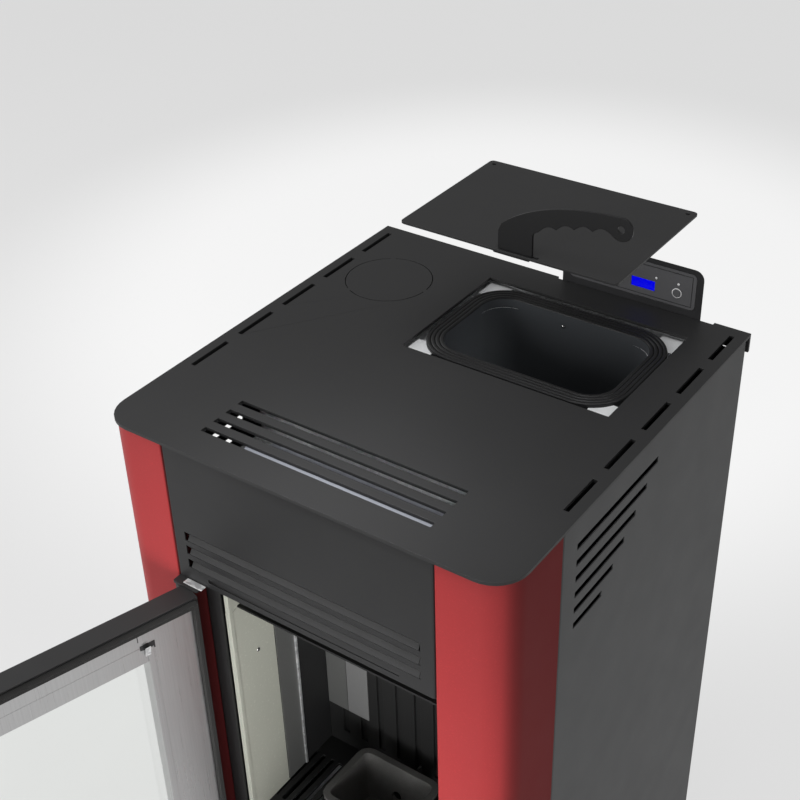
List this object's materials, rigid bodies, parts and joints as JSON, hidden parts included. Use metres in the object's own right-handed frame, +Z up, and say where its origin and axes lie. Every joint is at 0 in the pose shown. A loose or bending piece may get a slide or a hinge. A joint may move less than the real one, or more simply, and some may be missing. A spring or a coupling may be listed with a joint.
{
  "type": "pellet stove",
  "caption": "Free-standing pellet stove: hinged glass fire door, slotted top plate, rounded red corner columns, pellet hopper with a lifted lid and hooked lid tool, rear control console.",
  "frame": {"origin": "middle of the bounding box, on the floor that the four feet stand on", "axes": "+X to the right seen from the front, +Y to the back, +Z up"},
  "size_m": [0.5593, 0.9244, 1.192],
  "materials": {
    "charcoal_paint": "fine textured powder coat",
    "red_paint": "satin powder coat",
    "grey_paint": "matte powder coat",
    "black_paint": "heat resistant matte paint",
    "black_rubber": "matte",
    "seal_rope": "braided fibre rope",
    "stove_iron": "rough casting",
    "grey_lining": "satin sheet",
    "zinc_sheet": "galvanised sheet",
    "stainless": "brushed",
    "grey_steel": "plain steel and motor cases",
    "hopper_paint": "satin dark coat",
    "ceramic_glass": "clear heat resistant glass",
    "black_plastic": "fine grained moulding",
    "fascia_plastic": "satin film",
    "blue_display": "lit display window"
  },
  "bodies": {
    "stove": {"top_plate": "charcoal_paint", "right_front_column": "red_paint", "left_front_column": "red_paint", "right_side_panel": "grey_paint", "left_side_panel": "grey_paint", "louvre_panel": "charcoal_paint", "lower_front_panel": "charcoal_paint", "base_tray": "black_paint", "foot_front_left": "black_rubber", "foot_front_right": "black_rubber", "foot_rear_left": "black_rubber", "foot_rear_right": "black_rubber", "rear_panel": "grey_paint", "front_frame": "black_paint", "firebox": "stove_iron", "liner_right": "grey_lining", "liner_left": "grey_lining", "liner_back": "stove_iron", "baffle_plate": "black_paint", "burn_pot_shelf": "stove_iron", "heat_exchanger": "grey_steel", "igniter": "stainless", "air_deflector": "zinc_sheet", "hopper": "hopper_paint", "hopper_seal": "black_rubber", "auger_tube": "grey_steel", "pellet_chute": "stove_iron", "auger_gearmotor": "grey_steel", "blower_housing": "zinc_sheet", "blower_motor": "grey_steel", "exhaust_housing": "stove_iron", "exhaust_motor": "grey_steel", "flue_spigot": "black_paint", "smoke_duct": "zinc_sheet", "air_intake_pipe": "zinc_sheet", "control_console": "black_plastic", "console_fascia": "fascia_plastic", "display_window": "blue_display", "mains_inlet": "black_plastic", "upper_hinge": "zinc_sheet", "lower_hinge": "zinc_sheet", "controller_box": "black_plastic"},
    "door": {"door_frame": "black_paint", "door_glass": "ceramic_glass", "door_seal": "seal_rope", "door_inner_plate": "stainless"},
    "door_handle": {"door_handle": "stainless", "door_latch": "zinc_sheet"},
    "hopper_lid": {"hopper_lid": "charcoal_paint"},
    "lid_tool": {"lid_tool": "black_paint"},
    "burn_pot": {"burn_pot": "stove_iron"},
    "ash_drawer": {"ash_drawer": "zinc_sheet"},
    "auger_screw": {"auger_screw": "stainless"},
    "blower_impeller": {"blower_impeller": "zinc_sheet"},
    "exhaust_impeller": {"exhaust_impeller": "stainless"},
    "set_button": {"set_button": "black_plastic"},
    "power_button": {"power_button": "black_plastic"},
    "mains_switch": {"mains_switch": "black_plastic"}
  },
  "joints": [
    {"name": "door_hinge", "type": "hinge", "parent": "stove", "child": "door", "pos_m": [-0.14877, -0.12534, 0.51], "axis": [0, 0, 1], "range_deg": [-12.5, 107.5]},
    {"name": "handle_turn", "type": "hinge", "parent": "door", "child": "door_handle", "pos_m": [-0.22156, -0.42838, 0.505], "axis": [0.9537, -0.3007, 0], "range_deg": [0, 90]},
    {"name": "lid_lift", "type": "slide", "parent": "stove", "child": "hopper_lid", "axis": [0, 0, 1], "range_m": [-0.16, 0.04]},
    {"name": "tool_unhook", "type": "slide", "parent": "hopper_lid", "child": "lid_tool", "axis": [1, 0, 0], "range_m": [0, 0.01]},
    {"name": "burn_pot_lift", "type": "slide", "parent": "stove", "child": "burn_pot", "axis": [0, 0, -1], "range_m": [-0.1, 0]},
    {"name": "drawer_slide", "type": "slide", "parent": "stove", "child": "ash_drawer", "axis": [0, 1, 0], "range_m": [-0.14, 0]},
    {"name": "auger_turn", "type": "hinge", "parent": "stove", "child": "auger_screw", "pos_m": [0.02114, 0.22736, 0.54], "axis": [0, -0.6648, 0.747], "continuous": true},
    {"name": "blower_turn", "type": "hinge", "parent": "stove", "child": "blower_impeller", "pos_m": [0.10114, 0.16636, 0.112], "axis": [1, 0, 0], "continuous": true},
    {"name": "exhaust_turn", "type": "hinge", "parent": "stove", "child": "exhaust_impeller", "pos_m": [-0.13886, 0.27636, 0.15], "axis": [1, 0, 0], "continuous": true},
    {"name": "set_press", "type": "slide", "parent": "stove", "child": "set_button", "axis": [0, 1, 0], "range_m": [0, 0.0008], "stiffness_N_per_m": 600, "springref_m": -0.0008},
    {"name": "power_press", "type": "slide", "parent": "stove", "child": "power_button", "axis": [0, 1, 0], "range_m": [0, 0.0008], "stiffness_N_per_m": 600, "springref_m": -0.0008},
    {"name": "switch_rock", "type": "hinge", "parent": "stove", "child": "mains_switch", "pos_m": [0.22113, 0.41096, 0.136], "axis": [1, 0, 0], "range_deg": [-14, 0]}
  ]
}
